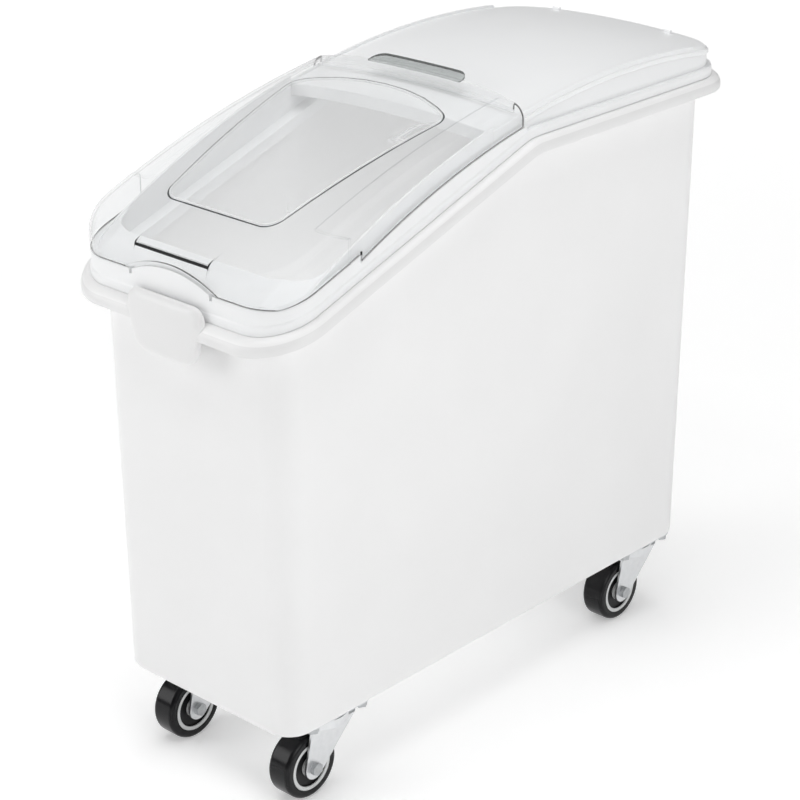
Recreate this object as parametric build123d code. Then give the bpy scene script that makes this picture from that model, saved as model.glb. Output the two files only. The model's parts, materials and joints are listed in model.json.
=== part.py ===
from build123d import *
import math
import os

# Rolling ingredient bin. Millimetres, front faces -Y, right is +X, the wheels stand on Z = 0.

# Rim of the bin from above: a long rectangle with round corners
rim_width = 328.0
rim_length = 743.0
rim_corner = 64.0

# Rim from the side: a sloping front run, a soft bend, a level rear run
rim_front_height = 552.0
rim_rear_height = 678.0
rim_slope_length = 381.5
rim_bend_radius = 60.0

# Turned-down lip round the rim
lip_overhang = 27.0
lip_drop = 24.0
lip_skin = 3.5
lip_round = 10.0
lip_hem_bevel = 1.5

# Tub below the lip
tub_wall = 3.5
tub_draft_angle = 0.6
tub_foot_round = 8.0
tub_cove = 18.0
floor_thickness = 4.0
floor_recess = 9.0
foot_rim_width = 12.0
pad_margin = 6.0
rib_thickness = 4.0

# Pull tongue on the front of the lip
tongue_top_half = 58.0
tongue_foot_half = 41.0
tongue_rise = 17.0
tongue_hang = 49.0
tongue_depth = 8.5
tongue_proud = 1.5
tongue_skin = 3.0
tongue_round = 14.0

# Arc the front lid slides on: a circle that stands this far over the two ends of the rim
slide_radius = 1013.0
slide_front_rise = 15.5
slide_rear_rise = 33.2

# Lid frame: flange on the lip, plug in the mouth, wall up to the rails
seat_gap = 0.3
bead_inset = 11.0
bead_height = 11.0
bead_round = 3.0
flange_thickness = 3.0
plug_gap = 0.8
plug_wall = 3.0
plug_depth = 10.0
frame_inset = 17.0
frame_wall = 3.0
ledge_inset = 12.0
ledge_drop = 15.0
ledge_front_rise = 32.7
ledge_level_length = 26.5
ledge_step_length = 124.5
ledge_step_rise = 7.9
ledge_lap = 4.0
deck_side_inset = 46.0
deck_rise = 13.0
deck_length = 51.5
deck_corner = 45.0
deck_skin = 3.0

# Domed rear cover of the frame
cover_skin = 3.0
cover_lap = 43.0
cover_front_drop = 13.0
cover_edge_round = 6.0
rail_rise = 3.0
rail_width = 3.5
rail_rear_gap = 76.5
seam_proud = 2.5
seam_drop = 7.0
seam_width = 5.0
seam_bevel = 1.0
stop_side_inset = 83.0
stop_rear_gap = 37.5
stop_width = 10.0
stop_length = 6.0
stop_rise = 5.0

# Clear front lid: a flatter arc of its own over the sloping front
lid_inset = 11.5
lid_skin = 2.5
lid_gap = 0.3
lid_arc_radius = 1328.0
lid_front_rise = 60.5
lid_rear_rise = 12.3
lid_rear_setback = 12.0
lid_edge_round = 14.0
strip_inset = 42.0
strip_front_gap = 93.5
strip_depth = 0.8
arch_half = 67.0
arch_rise = 17.0
arch_gap = 5.0
slit_width = 3.0
visor_half = 53.0
visor_length = 28.5
visor_setback = 2.0
lip_down_inset = 24.0
lip_down_clear = 2.5

# Raised window in the front lid
window_front_gap = 76.5
window_rear_gap = 68.0
window_bow = 28.0
window_side_gap = 12.0
window_taper = 32.0
window_corner = 20.0
window_rise = 3.5
window_round = 1.2

# Finger tab on the rear edge of the front lid
tab_half = 66.0
tab_depth = 20.0
tab_corner = 20.0
tab_bead_width = 3.5
tab_bead_rise = 4.0

# Casters: how far the swivel axes stand in from the rim's edges, and how far the wheel trails
caster_side_inset = 73.0
caster_front_inset = 118.5
caster_rear_inset = 87.5
caster_trail = 30.0

# Wheel
wheel_diameter = 75.0
wheel_width = 30.0
tread_round = 5.0
tread_depth = 9.5
core_rim = 2.8
core_inset = 2.2
web_thickness = 8.0
cover_disc_thickness = 2.5
cover_disc_inset = 1.0
bush_wall = 2.44
running_gap = 0.06
side_gap = 0.3

# Fork and its axle
leg_gap = 2.0
leg_thickness = 2.5
leg_tip_radius = 13.0
leg_front_reach = 33.0
leg_rear_reach = 35.0
wheel_top_gap = 5.0
bridge_thickness = 2.5
bend_round = 3.5
cup_radius = 30.0
cup_wall = 2.5
cup_height = 8.5
cup_floor = 3.5
axle_radius = 4.0
axle_hole_gap = 0.1
sleeve_wall = 2.4
hex_flats = 13.0
hex_height = 5.3
nut_height = 6.5
thread_end = 1.5

# Top plate, kingpin and thrust ring
plate_width = 66.0
plate_length = 92.0
plate_thickness = 3.0
plate_corner = 9.0
boss_gap = 2.5
boss_width = 5.0
boss_drop = 5.0
kingpin_radius = 6.0
kingpin_head_radius = 10.0
kingpin_head_height = 3.2
kingpin_sink = 1.0
race_width = 10.0
race_height = 3.4

# Bolts that hold the plates to the floor pads
bolt_edge = 9.0
bolt_radius = 4.0
bolt_hole_gap = 0.4
bolt_reach = 8.0
washer_radius = 8.0
washer_thickness = 1.6
insert_radius = 5.5
insert_length = 10.0
insert_gap = 0.1

# Places that follow from the sizes
front_y = -rim_length / 2
rear_y = rim_length / 2
rim_bend_y = front_y + rim_slope_length
rim_slope = (rim_rear_height - rim_front_height) / rim_slope_length
tall = 2 * rim_rear_height
tan_draft = math.tan(math.radians(tub_draft_angle))
wheel_radius = wheel_diameter / 2
half_width = wheel_width / 2
core_radius = wheel_radius - tread_depth
sleeve_radius = axle_radius + axle_hole_gap + sleeve_wall
bush_radius = sleeve_radius + running_gap + bush_wall
leg_inner = half_width + leg_gap
leg_outer = leg_inner + leg_thickness
bridge_height = wheel_diameter + wheel_top_gap
cup_low = bridge_height + bridge_thickness
race_low = cup_low + cup_floor + side_gap
boss_low = race_low + race_height + side_gap
boss_outer = cup_radius - cup_wall - boss_gap
plate_low = boss_low + boss_drop
caster_height = plate_low + plate_thickness
floor_top = caster_height + floor_recess + floor_thickness
bolt_x = plate_width / 2 - bolt_edge
bolt_y = plate_length / 2 - bolt_edge
caster_xs = {"l": caster_side_inset - rim_width / 2, "r": rim_width / 2 - caster_side_inset}
caster_ys = {"f": front_y + caster_front_inset, "r": rear_y - caster_rear_inset}
corners = {f + s: (x, y) for f, y in caster_ys.items() for s, x in caster_xs.items()}
bolt_signs = [(i, j) for i in (-1, 1) for j in (-1, 1)]
bolt_spots = [(x + i * bolt_x, y + j * bolt_y) for x, y in corners.values() for i, j in bolt_signs]


def arc_centre(first, last, radius):
    """Centre below a circle of this radius through two points given as (y, z), the first in front."""
    run = last[0] - first[0]
    rise = last[1] - first[1]
    chord = math.hypot(run, rise)
    depth = math.sqrt(radius**2 - chord**2 / 4)
    middle_y = (first[0] + last[0]) / 2
    middle_z = (first[1] + last[1]) / 2
    return middle_y + depth * rise / chord, middle_z - depth * run / chord


def arc_height(radius, y):
    """Height of a circle round the slide axis at a station along the bin."""
    return slide_z + math.sqrt(radius**2 - (y - slide_y) ** 2)


slide_front = (front_y + frame_inset, rim_front_height + slide_front_rise)
slide_rear = (rear_y - frame_inset, rim_rear_height + slide_rear_rise)
slide_y, slide_z = arc_centre(slide_front, slide_rear, slide_radius)
ledge_radius = slide_radius - ledge_drop
ledge_front_height = rim_front_height + ledge_front_rise
ledge_step_y = front_y + ledge_step_length
ledge_step_height = arc_height(ledge_radius, ledge_step_y) + ledge_step_rise
rail_radius = slide_radius + rail_rise
deck_radius = slide_radius + deck_rise
deck_half = rim_width / 2 - deck_side_inset
arch_radius = (arch_half**2 + arch_rise**2) / (2 * arch_rise)
arch_z = ledge_front_height + lid_gap + arch_rise - arch_radius
lid_front_y = front_y + lid_inset
lid_rear_y = rim_bend_y - lid_rear_setback
lid_rear_z = arc_height(slide_radius, lid_rear_y) + lid_rear_rise
lid_front = (lid_front_y, rim_front_height + lid_front_rise)
lid_arc_y, lid_arc_z = arc_centre(lid_front, (lid_rear_y, lid_rear_z), lid_arc_radius)
strip_x = rim_width / 2 - strip_inset
cover_front_y = lid_rear_y - cover_lap
rail_end_y = rear_y - rail_rear_gap
stop_x = rim_width / 2 - stop_side_inset
stop_y = rear_y - stop_rear_gap


def plan(inset, low, high):
    """Upright prism on the rim's outline, drawn in by inset all round."""
    outline = RectangleRounded(rim_width - 2 * inset, rim_length - 2 * inset, rim_corner - inset)
    return Pos(0, 0, low) * extrude(outline, high - low)


def across(face):
    """A face drawn as (y, z), made into a bar right across the bin."""
    return extrude(Plane.YZ * face, rim_width, both=True)


def under_rim(lift):
    """Everything below the rim's side line, raised by lift."""
    level = rim_rear_height + lift
    line = FilletPolyline(
        (-rim_length, level - rim_slope * (rim_bend_y + rim_length)),
        (rim_bend_y, level),
        (rim_length, level),
        radius=rim_bend_radius,
    )
    rest = Polyline(line @ 1, (rim_length, -rim_length), (-rim_length, -rim_length), line @ 0)
    return across(make_face(line.edges() + rest.edges()))


def drum(radius):
    """Solid roller on the slide axis."""
    return Pos(0, slide_y, slide_z) * Rot(0, 90, 0) * Cylinder(radius, 2 * rim_width)


def lid_drum(lift):
    """Solid roller whose skin is the top of the front lid, raised by lift."""
    roller = Cylinder(lid_arc_radius + lift, 2 * rim_width)
    return Pos(0, lid_arc_y, lid_arc_z) * Rot(0, 90, 0) * roller


def slab(y_low, y_high, half=rim_width):
    """Tall block above the floor between two stations along the bin."""
    return Pos(0, (y_low + y_high) / 2, tall / 2) * Box(2 * half, y_high - y_low, tall)


def under_ledge(lift):
    """Everything below the line the front lid's lower edge stands on."""
    front = make_face(
        Polyline(
            (-rim_length, ledge_front_height + lift),
            (front_y + ledge_level_length, ledge_front_height + lift),
            (ledge_step_y, ledge_step_height + lift),
            (ledge_step_y, 0),
            (-rim_length, 0),
            close=True,
        )
    )
    return across(front) + drum(ledge_radius + lift) & slab(-rim_length, rim_length)


def broadest_round(block):
    """The block's cylindrical face of the largest radius."""
    return max(block.faces().filter_by(GeomType.CYLINDER), key=lambda face: face.radius)


def tub_block(inset, low, high):
    """Drafted prism: at the level rear rim its wall stands inset inside the lip's edge."""
    low_inset = inset + tan_draft * (rim_rear_height - low)
    outline = RectangleRounded(
        rim_width - 2 * low_inset, rim_length - 2 * low_inset, rim_corner - low_inset
    )
    return Pos(0, 0, low) * extrude(outline, high - low, taper=-tub_draft_angle)


def make_bin():
    """Tub with sloping rim, hollow turned-down lip, foot pads and pull tongue."""
    below_rim = under_rim(0)
    outer = tub_block(lip_overhang, caster_height, tall)
    outer = fillet(outer.faces().sort_by(Axis.Z)[0].edges(), tub_foot_round)
    cavity = tub_block(lip_overhang + tub_wall, floor_top, tall)
    cavity = fillet(cavity.faces().sort_by(Axis.Z)[0].edges(), tub_cove)
    lip = plan(0, 0, tall) & (below_rim - under_rim(-lip_drop))
    lip = fillet(rim_loop(lip, 1), lip_round)
    lip = chamfer(rim_loop(lip, -1), lip_hem_bevel)
    lip_hollow = plan(lip_skin, 0, tall) & (under_rim(-lip_skin) - under_rim(-lip_drop - lip_skin))
    lip_hollow = chamfer(rim_loop(lip_hollow, 1), lip_round - lip_skin)
    body = (outer & below_rim) + (lip - lip_hollow) + make_tongue() - cavity
    recess_inset = lip_overhang + tan_draft * (rim_rear_height - caster_height) + foot_rim_width
    recess = plan(recess_inset, 0, caster_height + floor_recess)
    pad = Box(plate_width + 2 * pad_margin, plate_length + 2 * pad_margin, 3 * floor_recess)
    for x, y in corners.values():
        recess -= Pos(x, y, caster_height) * pad
    recess -= Pos(0, 0, caster_height) * Box(rib_thickness, rim_length, 3 * floor_recess)
    for y in (caster_ys["f"] / 2, 0, caster_ys["r"] / 2):
        recess -= Pos(0, y, caster_height) * Box(rim_width, rib_thickness, 3 * floor_recess)
    body -= recess
    for x, y in bolt_spots:
        hole_length = insert_length + insert_gap
        body -= Pos(x, y, caster_height + hole_length / 2) * Cylinder(insert_radius, hole_length)
    return body


def rim_loop(block, side):
    """Edges round the top (side 1) or the foot (side -1) of a prism cut off by rim lines."""
    edges = [e for f in block.faces() if side * f.normal_at().Z > 0.5 for e in f.edges()]
    return [e for e in edges if sum(e.is_same(other) for other in edges) == 1]


def is_upright(edge):
    """True for a straight edge that stands on end."""
    return abs((edge @ 1 - edge @ 0).normalized().Z) > 0.95


def make_tongue():
    """Pull tongue: a shallow hollow shield that hangs from the front of the lip."""
    top = rim_front_height + tongue_rise
    foot = rim_front_height - tongue_hang
    front = front_y - tongue_proud
    shield = make_face(
        Polyline(
            (-tongue_top_half, top),
            (tongue_top_half, top),
            (tongue_foot_half, foot),
            (-tongue_foot_half, foot),
            close=True,
        )
    )
    shield = fillet(shield.vertices(), tongue_round)
    plane = Plane((0, front, 0), x_dir=(1, 0, 0), z_dir=(0, -1, 0))
    block = extrude(plane * shield, -tongue_depth)
    block = fillet(block.faces().sort_by(Axis.Y)[0].edges(), tongue_skin)
    back_plane = Plane((0, front + tongue_skin, 0), x_dir=(1, 0, 0), z_dir=(0, -1, 0))
    hollow = extrude(back_plane * offset(shield, -tongue_skin), -tongue_depth)
    return block - hollow


def make_lid_frame():
    """Collar on the rim in one moulding with the domed rear cover."""
    above_seat = plan(0, 0, tall) - under_rim(seat_gap)
    plug_inset = lip_overhang + tub_wall + plug_gap
    mouth = tub_block(plug_inset + plug_wall, caster_height, tall)
    plug = tub_block(plug_inset, caster_height, tall) & under_rim(seat_gap + flange_thickness)
    plug -= under_rim(-plug_depth)
    flange = plan(bead_inset, 0, tall) & under_rim(seat_gap + flange_thickness) & above_seat
    collar = flange + plug - mouth
    inside = plan(frame_inset + frame_wall, 0, tall)
    bead = plan(bead_inset, 0, tall) & (under_rim(seat_gap + bead_height) - under_rim(seat_gap))
    bead = fillet(rim_loop(bead, 1), bead_round) - inside
    ledge = (plan(ledge_inset, 0, tall) - inside) & under_ledge(0) & above_seat
    ledge &= slab(-rim_length, lid_rear_y + ledge_lap)
    wall_top = drum(rail_radius) & slab(-rim_length, rail_end_y)
    wall_top += drum(slide_radius - 2 * cover_edge_round) & slab(rail_end_y - rail_width, rim_length)
    wall_top += under_ledge(0) & slab(-rim_length, ledge_step_y + frame_wall)
    wall = ((plan(frame_inset, 0, tall) - inside) & wall_top) & above_seat
    upstand = (plan(ledge_inset, 0, tall) - inside) & arch(arch_radius - arch_gap) & above_seat
    return collar + bead + ledge + wall + upstand + make_deck() + make_cover(above_seat)


def arch(radius):
    """Roller along the bin through the front wall, whose crown lies on the arch in the lid's front edge."""
    return Pos(0, lid_front_y, arch_z) * Rot(90, 0, 0) * Cylinder(radius, 2 * lid_edge_round)


def make_deck():
    """Deck behind the front wall. It falls away to the side walls, so that the lid's front edge clears it."""
    side = rim_width / 2 - frame_inset
    crown = Polyline((-side, rail_radius), (-deck_half, deck_radius), (deck_half, deck_radius), (side, rail_radius))
    foot = Pos(0, -deck_skin) * crown
    ends = [Line(crown @ 0, foot @ 0), Line(crown @ 1, foot @ 1)]
    section = make_face(crown.edges() + foot.edges() + [e.edge() for e in ends])
    axis_plane = Plane((0, slide_y, slide_z), x_dir=(1, 0, 0), z_dir=(0, -1, 0))
    ring = revolve(axis_plane * section, Axis((0, slide_y, slide_z), (1, 0, 0)))
    deck_end_y = front_y + deck_length
    mouth = RectangleRounded(2 * (side - frame_wall), rear_y - deck_end_y, deck_corner)
    mouth = extrude(Pos(0, (deck_end_y + rear_y) / 2) * mouth, tall)
    field = plan(frame_inset, 0, tall) & slab(-rim_length, deck_end_y + deck_corner)
    return (field - mouth) & ring


def make_cover(above_seat):
    """Domed cover: rounded shell, turned-down front edge, rails, seam bead and two stops."""
    block = plan(frame_inset, 0, tall) & drum(slide_radius) & above_seat
    rear = block & slab(rail_end_y, rim_length)
    edges = broadest_round(rear).edges()
    rear = fillet([e for e in edges if e.center().Y > rail_end_y + rail_width], cover_edge_round)
    dome = (block & slab(cover_front_y, rail_end_y)) + rear
    dome -= plan(frame_inset + frame_wall, 0, tall) & drum(slide_radius - cover_skin)
    side = plan(frame_inset, 0, tall) - plan(frame_inset + rail_width, 0, tall)
    rails = side & (drum(rail_radius) - drum(slide_radius - 2 * cover_edge_round))
    rails &= slab(cover_front_y, rail_end_y)
    field = plan(frame_inset + frame_wall / 2, 0, tall) & slab(cover_front_y, cover_front_y + cover_skin)
    brow = field & (drum(slide_radius - cover_skin / 2) - drum(slide_radius - cover_front_drop))
    seam_high = slide_radius - seam_drop
    seam = plan(frame_inset - seam_proud, 0, tall) & (drum(seam_high) - drum(seam_high - seam_width))
    seam = chamfer([e for e in seam.edges() if not is_upright(e)], seam_bevel)
    seam = (seam - plan(frame_inset + frame_wall / 2, 0, tall)) & slab(lid_rear_y, rim_length)
    cover = dome + rails + brow + seam
    ridge = slab(stop_y, stop_y + stop_length, stop_width / 2)
    ridge &= drum(slide_radius + stop_rise) - drum(slide_radius - cover_skin / 2)
    for x in (-stop_x, stop_x):
        cover += Pos(x, 0, 0) * ridge
    return cover


def lid_block(inset, lift, round_radius, rear):
    """Front lid as a solid lump: upright sides, arched top, rounded edge, cut off square at the rear."""
    block = plan(inset, rim_front_height, tall) & lid_drum(lift) & slab(-rim_length, rear)
    edges = broadest_round(block).edges()
    return fillet([e for e in edges if e.center().Y < rear - lid_skin], round_radius)


def window_outline():
    """Plan of the window: wider at the rear, where the edge bows out."""
    rear_half = strip_x - window_side_gap
    front_half = rear_half - window_taper
    window_front = front_y + window_front_gap
    window_rear = lid_rear_y - window_rear_gap
    sides = Polyline(
        (-rear_half, window_rear),
        (-front_half, window_front),
        (front_half, window_front),
        (rear_half, window_rear),
    )
    crown = ThreePointArc(sides @ 1, (0, window_rear + window_bow), sides @ 0)
    face = make_face(sides.edges() + crown.edges())
    return fillet(face.vertices(), window_corner)


def make_front_lid():
    """Clear lid: thin shell with skirts, window, visor, arch, rear lip and finger tab."""
    hollow = lid_block(lid_inset + lid_skin, -lid_skin, lid_edge_round - lid_skin, lid_rear_y + cover_lap)
    shell = lid_block(lid_inset, 0, lid_edge_round, lid_rear_y)
    inner = lid_block(lid_inset + strip_depth, -strip_depth, lid_edge_round - strip_depth, lid_rear_y)
    strips = slab(front_y + strip_front_gap, rim_length) - slab(-rim_length, 2 * rim_length, strip_x)
    shell -= strips - inner
    visor = plan(lid_inset + visor_setback, rim_front_height, tall) & lid_drum(0)
    visor &= slab(-rim_length, front_y + visor_length, visor_half)
    outline = window_outline()
    window = extrude(outline, tall) & (lid_drum(window_rise) - lid_drum(-lid_skin))
    window = fillet(broadest_round(window).edges(), window_round)
    light = extrude(offset(outline, -lid_skin), tall) & lid_drum(window_rise - lid_skin)
    lid = shell + visor + window - hollow - (light - lid_drum(-2 * lid_skin))
    lid -= under_ledge(lid_gap)
    lid -= arch(arch_radius)
    slit = Box(2 * rim_width, slit_width, 2 * (ledge_step_rise + lid_gap))
    lid -= Pos(0, ledge_step_y + slit_width / 2, ledge_step_height - ledge_step_rise) * slit
    return lid + make_rear_edge()


def make_rear_edge():
    """Turned-down lip under the rear edge and the finger tab behind it."""
    rear_radius = math.hypot(lid_rear_y - slide_y, lid_rear_z - slide_z)
    lip = slab(lid_rear_y - lid_skin, lid_rear_y, rim_width / 2 - lip_down_inset)
    lip &= drum(rear_radius - lid_skin / 2) - drum(slide_radius + lip_down_clear)
    tab = extrude(tab_outline(0), tall)
    edge = tab - extrude(tab_outline(tab_bead_width), tall)
    tab &= drum(rear_radius) - drum(rear_radius - lid_skin)
    edge &= drum(rear_radius + tab_bead_rise) - drum(rear_radius - lid_skin)
    return lip + tab + edge


def tab_outline(inset):
    """Plan of the tab, straight behind with round corners, drawn in by inset except at its root."""
    half = tab_half - inset
    root = lid_rear_y - lid_skin
    tip = lid_rear_y + tab_depth - inset
    face = make_face(Polyline((-half, root), (half, root), (half, tip), (-half, tip), close=True))
    return fillet(face.vertices().sort_by(Axis.Y)[-2:], tab_corner - inset)


def ring(outer, inner, low, high):
    """Flat ring on the Z axis."""
    body = Pos(0, 0, (low + high) / 2) * Cylinder(outer, high - low)
    return body - Pos(0, 0, (low + high) / 2) * Cylinder(inner, 2 * (high - low))


def spin(points):
    """Turned piece on the wheel's axle: the outline is given as (radius, station along X)."""
    face = make_face(Polyline(*[(r, x) for r, x in points], close=True))
    return Rot(0, 90, 0) * revolve(Plane.XZ * face, Axis.Z)


def hexagon(low, high):
    """Hexagon head on the X axis."""
    outline = RegularPolygon(hex_flats / 2, 6, major_radius=False)
    return Pos(low, 0, 0) * Rot(0, 90, 0) * extrude(outline, high - low)


def make_plate():
    """Stamped top plate with four bolt holes and a raised ring that bears on the thrust ring."""
    outline = RectangleRounded(plate_width, plate_length, plate_corner)
    plate = Pos(0, 0, plate_low) * extrude(outline, plate_thickness)
    plate += ring(boss_outer, boss_outer - boss_width, boss_low, plate_low + plate_thickness / 2)
    plate -= Pos(0, 0, caster_height) * Cylinder(kingpin_radius, 4 * plate_thickness)
    for i, j in bolt_signs:
        bolt_hole = Cylinder(bolt_radius + bolt_hole_gap, 4 * plate_thickness)
        plate -= Pos(i * bolt_x, j * bolt_y, caster_height) * bolt_hole
    return plate


def make_kingpin():
    """Rivet through plate and fork, with a low round head under the fork."""
    head_top = bridge_height - side_gap
    head = Cylinder(kingpin_head_radius, kingpin_head_height)
    head = fillet(head.edges().sort_by(Axis.Z)[0], kingpin_head_height / 2)
    head = Pos(0, 0, head_top - kingpin_head_height / 2) * head
    shank_top = caster_height - kingpin_sink
    shank_low = head_top - kingpin_head_height / 2
    shank = Cylinder(kingpin_radius, shank_top - shank_low)
    return head + Pos(0, 0, (shank_low + shank_top) / 2) * shank


def make_race():
    """Thrust ring between the fork's cup and the plate's ring."""
    return ring(boss_outer, boss_outer - race_width, race_low, race_low + race_height)


def make_fork():
    """Stamped fork: swivel cup, bridge and two swept legs with round tips."""
    hull = make_hull(
        Polyline((-leg_front_reach, cup_low), (leg_rear_reach, cup_low)).edges()
        + (Pos(-caster_trail, wheel_radius) * Circle(leg_tip_radius)).edges()
    )
    legs = extrude(Plane.YZ * hull, leg_outer, both=True)
    legs = fillet(legs.edges().filter_by(Axis.Y).sort_by(Axis.Z)[-2:], bend_round)
    span = leg_front_reach + leg_rear_reach + 4 * leg_tip_radius
    legs -= Pos(0, 0, bridge_height / 2) * Box(2 * leg_inner, 2 * span, bridge_height)
    cup = ring(cup_radius, kingpin_radius, bridge_height + bridge_thickness / 2, cup_low + cup_height)
    cup -= Pos(0, 0, cup_low + cup_floor + cup_height / 2) * Cylinder(cup_radius - cup_wall, cup_height)
    fork = legs + cup
    fork -= Pos(0, 0, cup_low) * Cylinder(kingpin_radius + running_gap, 6 * cup_height)
    axle_hole = Rot(0, 90, 0) * Cylinder(axle_radius + axle_hole_gap, 3 * wheel_width)
    return fork - Pos(0, -caster_trail, wheel_radius) * axle_hole


def make_axle():
    """Hex bolt across the fork."""
    end = -leg_outer - nut_height - thread_end
    shank = Pos((leg_outer + end) / 2, 0, 0) * Rot(0, 90, 0) * Cylinder(axle_radius, leg_outer - end)
    return hexagon(leg_outer, leg_outer + hex_height) + shank


def make_axle_nut():
    """Nut on the end of the axle bolt."""
    nut = hexagon(-leg_outer - nut_height, -leg_outer)
    return nut - Rot(0, 90, 0) * Cylinder(axle_radius, 6 * wheel_width)


def make_sleeve():
    """Spacer tube clamped between the legs, on which the wheel turns."""
    tube = Cylinder(sleeve_radius, 2 * leg_inner) - Cylinder(axle_radius + axle_hole_gap, 4 * leg_inner)
    return Rot(0, 90, 0) * tube


def make_tyre():
    """Tread with rounded shoulders, moulded on the core."""
    face = make_face(
        Polyline(
            (core_radius, -half_width),
            (wheel_radius, -half_width),
            (wheel_radius, half_width),
            (core_radius, half_width),
            close=True,
        )
    )
    face = fillet(face.vertices().sort_by(Axis.X)[-2:], tread_round)
    return Rot(0, 90, 0) * revolve(Plane.XZ * face, Axis.Z)


def make_core():
    """Core: rim under the tread, web and hub."""
    rim_half = half_width - core_inset
    hub_radius = bush_radius + core_rim
    outline = [
        (bush_radius, -half_width),
        (hub_radius, -half_width),
        (hub_radius, -web_thickness / 2),
        (core_radius - core_rim, -web_thickness / 2),
        (core_radius - core_rim, -rim_half),
        (core_radius, -rim_half),
    ]
    return spin(outline + [(r, -x) for r, x in reversed(outline)])


def make_covers():
    """Two discs that close the sides of the core."""
    outer = half_width - core_inset - cover_disc_inset
    discs = []
    for side in (-1, 1):
        low, high = sorted((side * outer, side * (outer - cover_disc_thickness)))
        hub_radius = bush_radius + core_rim
        rim_radius = core_radius - core_rim
        discs.append(spin([(hub_radius, low), (rim_radius, low), (rim_radius, high), (hub_radius, high)]))
    return Compound(discs)


def make_bush():
    """Plain bearing in the hub, free on the sleeve."""
    reach = leg_inner - side_gap
    bore = sleeve_radius + running_gap
    return spin([(bore, -reach), (bush_radius, -reach), (bush_radius, reach), (bore, reach)])


def make_bolts():
    """Hex bolts up through the plates into the floor pads."""
    head_top = plate_low - washer_thickness
    tip = caster_height + bolt_reach
    bolt = Pos(0, 0, (head_top + tip) / 2) * Cylinder(bolt_radius, tip - head_top)
    head = extrude(RegularPolygon(hex_flats / 2, 6, major_radius=False), hex_height)
    bolt += Pos(0, 0, head_top - hex_height) * head
    return Compound([Pos(x, y, 0) * bolt.solid() for x, y in bolt_spots])


def make_washers():
    """Washers between bolt heads and plates."""
    washer = ring(washer_radius, bolt_radius + bolt_hole_gap, plate_low - washer_thickness, plate_low)
    return Compound([Pos(x, y, 0) * washer.solid() for x, y in bolt_spots])


def make_inserts():
    """Threaded inserts moulded into the floor pads."""
    top = caster_height + insert_length
    insert = ring(insert_radius, bolt_radius + insert_gap, caster_height, top)
    return Compound([Pos(x, y, 0) * insert.solid() for x, y in bolt_spots])


parts = {
    "bin_body": make_bin(),
    "inserts": make_inserts(),
    "caster_bolts": make_bolts(),
    "caster_washers": make_washers(),
    "lid_frame": make_lid_frame(),
    "front_lid": make_front_lid(),
}
on_swivel = {"plate": make_plate(), "kingpin": make_kingpin(), "race": make_race(), "fork": make_fork()}
on_axle = {
    "axle": make_axle(),
    "axle_nut": make_axle_nut(),
    "sleeve": make_sleeve(),
    "tyre": make_tyre(),
    "core": make_core(),
    "cover": make_covers(),
    "bush": make_bush(),
}
for corner, (x, y) in corners.items():
    for name, shape in on_swivel.items():
        parts[f"{name}_{corner}"] = Pos(x, y, 0) * shape
    for name, shape in on_axle.items():
        parts[f"{name}_{corner}"] = Pos(x, y - caster_trail, wheel_radius) * shape
os.makedirs("parts", exist_ok=True)
for name, shape in parts.items():
    export_step(shape, f"parts/{name}.step")
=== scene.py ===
import json
import math

import bmesh
import bpy
import numpy as np
from mathutils import Matrix, Vector


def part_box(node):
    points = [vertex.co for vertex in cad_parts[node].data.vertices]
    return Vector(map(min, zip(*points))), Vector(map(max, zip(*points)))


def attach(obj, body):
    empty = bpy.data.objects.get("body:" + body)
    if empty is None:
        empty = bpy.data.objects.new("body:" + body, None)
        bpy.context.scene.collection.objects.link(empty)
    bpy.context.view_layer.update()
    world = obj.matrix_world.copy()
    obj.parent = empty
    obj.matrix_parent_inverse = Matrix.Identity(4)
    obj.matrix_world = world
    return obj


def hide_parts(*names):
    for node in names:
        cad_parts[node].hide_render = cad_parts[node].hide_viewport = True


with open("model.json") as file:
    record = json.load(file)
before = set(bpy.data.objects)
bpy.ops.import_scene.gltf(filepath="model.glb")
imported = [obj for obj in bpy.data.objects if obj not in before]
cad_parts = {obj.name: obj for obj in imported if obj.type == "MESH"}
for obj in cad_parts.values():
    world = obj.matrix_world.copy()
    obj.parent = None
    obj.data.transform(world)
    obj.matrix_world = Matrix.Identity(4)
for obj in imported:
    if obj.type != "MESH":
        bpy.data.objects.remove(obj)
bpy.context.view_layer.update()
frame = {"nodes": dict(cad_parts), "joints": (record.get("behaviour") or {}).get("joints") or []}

# Tub: the tall white bucket of the bin with its turned-down lip, foot ring, caster pads and floor ribs.
# It is one thick moulding of satin white polypropylene with a slight draft, and everything else hangs on it.
# The face and underside of its lip carry a painted shade: a darker white stands in for the shade under the
# lip's round.
mm = 0.001
hair = 0.01 * mm
tub_low, tub_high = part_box("bin_body")
rim_x = tub_high.x
rim_y = tub_high.y
rim_rear_z = tub_high.z
foot_z = tub_low.z
rim_front_z = 552 * mm
rim_corner = 64 * mm
rim_bend_y = -rim_y + 381.5 * mm
rim_bend_radius = 60 * mm
rim_slope = (rim_rear_z - rim_front_z) / (rim_bend_y + rim_y)
lip_overhang = 27 * mm
lip_drop = 15 * mm
lip_skin = 3.5 * mm
lip_round = 10 * mm
tub_wall = 3.5 * mm
tub_draft = math.tan(math.radians(0.6))
foot_round = 8 * mm
foot_ring = 12 * mm
floor_recess = 9 * mm
floor_z = foot_z + floor_recess + 4 * mm
floor_cove = 18 * mm
hollow_fillet = 4 * mm
edge_round = 1 * mm
shade_steps = 5
caster_corners = ("fl", "fr", "rl", "rr")


def stations(low, high, step, breaks=()):
    """Places from low to high about a step apart, with a pair a hair apart at each break."""
    even = np.linspace(low, high, round((high - low) / step) + 1)
    pairs = [place + side * hair for place in breaks for side in (-1, 1)]
    return np.unique(np.concatenate([even, pairs]))


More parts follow.
